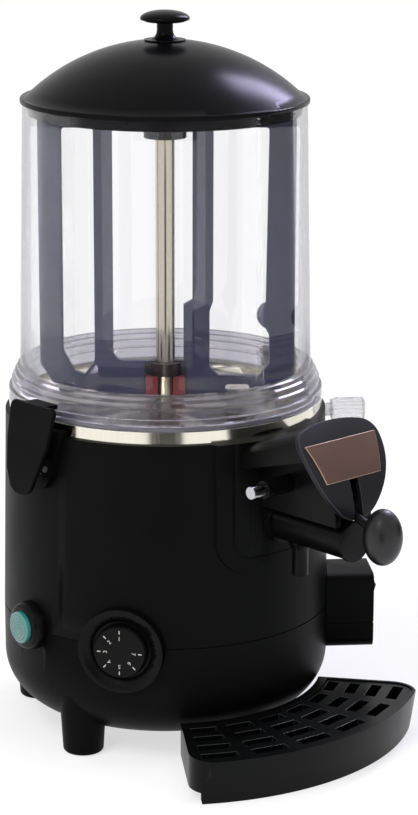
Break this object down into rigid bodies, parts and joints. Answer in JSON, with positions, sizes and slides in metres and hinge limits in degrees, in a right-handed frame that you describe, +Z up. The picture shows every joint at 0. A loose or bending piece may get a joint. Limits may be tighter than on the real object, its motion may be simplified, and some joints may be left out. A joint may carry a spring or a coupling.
{
  "type": "hot chocolate dispenser",
  "caption": "Countertop hot drink dispenser: heated round base, clear tank with a turning paddle frame, domed lid, lever tap and a curved drip tray.",
  "frame": {"origin": "on the axis of the round body, at the level it stands on", "axes": "+Z up, -Y out through the tap, +X to the right seen from the tap's side"},
  "size_m": [0.307, 0.4039, 0.58],
  "materials": {
    "casing_plastic": "satin black moulded plastic",
    "lid_plastic": "black moulded plastic with a soft gloss",
    "trim_plastic": "black moulded plastic",
    "shield_plastic": "dark grey satin plastic",
    "plate_film": "bare brown plate",
    "zinc_sheet": "zinc coated sheet",
    "bright_steel": "bright steel",
    "stainless_steel": "polished stainless steel",
    "bath_steel": "plain stainless sheet",
    "seal_rubber": "soft silicone",
    "clear_plastic": "clear polycarbonate",
    "white_acetal": "off-white engineering plastic",
    "cast_gearbox": "die-cast housing",
    "coated_metal": "coated metal housing",
    "paddle_plastic": "slate-coloured moulded plastic",
    "red_plastic": "dark red moulded plastic",
    "teal_lens": "tinted translucent lens"
  },
  "bodies": {
    "cabinet": {"upper_casing": "casing_plastic", "lower_casing": "casing_plastic", "base_plate": "zinc_sheet", "base_screws": "bright_steel", "foot_front": "trim_plastic", "foot_left": "trim_plastic", "foot_right": "trim_plastic", "foot_rear_left": "trim_plastic", "foot_rear_right": "trim_plastic", "product_bowl": "stainless_steel", "bowl_outlet": "stainless_steel", "water_bath": "bath_steel", "heating_element": "bath_steel", "tank_gasket": "seal_rubber", "tank_cylinder": "clear_plastic", "column_tube": "stainless_steel", "column_bush": "white_acetal", "gearbox": "cast_gearbox", "gear_motor": "coated_metal", "motor_bracket": "zinc_sheet", "tap_surround": "trim_plastic", "tap_body": "casing_plastic", "tap_seal": "seal_rubber", "piston_spring": "bright_steel", "barrel_cap": "trim_plastic", "tap_hood": "casing_plastic", "tap_shield": "shield_plastic", "name_plate": "plate_film", "lever_pin": "bright_steel", "latch_bracket_left": "casing_plastic", "latch_bracket_right": "casing_plastic", "latch_pin_left": "bright_steel", "latch_pin_right": "bright_steel", "power_bezel": "casing_plastic", "dial_collar": "casing_plastic", "thermostat": "coated_metal", "switch_housing": "casing_plastic", "rocker_frame": "trim_plastic", "filler_neck": "clear_plastic", "cable_gland": "trim_plastic"},
    "agitator": {"drive_shaft": "bright_steel", "drive_head": "stainless_steel", "paddle": "paddle_plastic", "paddle_shoes": "red_plastic"},
    "lid": {"lid": "lid_plastic", "lid_knob": "trim_plastic", "knob_screw": "bright_steel"},
    "lever": {"tap_lever": "trim_plastic", "lever_knob": "lid_plastic"},
    "piston": {"tap_piston": "white_acetal", "piston_rings": "seal_rubber"},
    "dial": {"thermostat_dial": "trim_plastic"},
    "button": {"power_button": "teal_lens"},
    "rocker": {"rocker_switch": "trim_plastic"},
    "left_latch": {"latch_left": "trim_plastic"},
    "right_latch": {"latch_right": "trim_plastic"},
    "tray": {"tray_basin": "casing_plastic"},
    "grid": {"tray_grid": "trim_plastic"},
    "cap": {"filler_cap": "clear_plastic"}
  },
  "joints": [
    {"name": "paddle_spin", "type": "hinge", "parent": "cabinet", "child": "agitator", "pos_m": [0, 0, 0.3], "axis": [0, 0, 1], "continuous": true},
    {"name": "lid_lift", "type": "slide", "parent": "cabinet", "child": "lid", "axis": [0, 0, 1], "range_m": [0, 0.12]},
    {"name": "lever_lift", "type": "hinge", "parent": "cabinet", "child": "lever", "pos_m": [0, -0.163, 0.2345], "axis": [-1, 0, 0], "range_deg": [0, 24], "stiffness_Nm_per_rad": 1},
    {"name": "piston_slide", "type": "slide", "parent": "cabinet", "child": "piston", "axis": [0, -1, 0], "range_m": [0, 0.016], "stiffness_N_per_m": 200},
    {"name": "dial_turn", "type": "hinge", "parent": "cabinet", "child": "dial", "pos_m": [-0.11574, -0.07516, 0.098], "axis": [0.8387, 0.5446, 0], "range_deg": [0, 270]},
    {"name": "power_press", "type": "slide", "parent": "cabinet", "child": "button", "axis": [0.9954, -0.0958, 0], "range_m": [0, 0.0025], "stiffness_N_per_m": 400},
    {"name": "rocker_turn", "type": "hinge", "parent": "cabinet", "child": "rocker", "pos_m": [0.13002, -0.10158, 0.096], "axis": [-0.6157, -0.788, 0], "range_deg": [0, 12]},
    {"name": "latch_left_turn", "type": "hinge", "parent": "cabinet", "child": "left_latch", "pos_m": [-0.1415, 0, 0.238], "axis": [0, -1, 0], "range_deg": [0, 25]},
    {"name": "latch_right_turn", "type": "hinge", "parent": "cabinet", "child": "right_latch", "pos_m": [0.1415, 0, 0.238], "axis": [0, 1, 0], "range_deg": [0, 25]},
    {"name": "tray_slide", "type": "slide", "parent": "cabinet", "child": "tray", "axis": [0, -1, 0], "range_m": [0, 0.15]},
    {"name": "grid_lift", "type": "slide", "parent": "tray", "child": "grid", "axis": [0, 0, 1], "range_m": [0, 0.06]},
    {"name": "cap_off", "type": "slide", "parent": "cabinet", "child": "cap", "axis": [0.788, -0.6157, 0], "range_m": [0, 0.025]}
  ],
  "couplings": [
    {"joint": "piston_slide", "follows": "lever_lift", "m_per_rad": 0.0369}
  ]
}
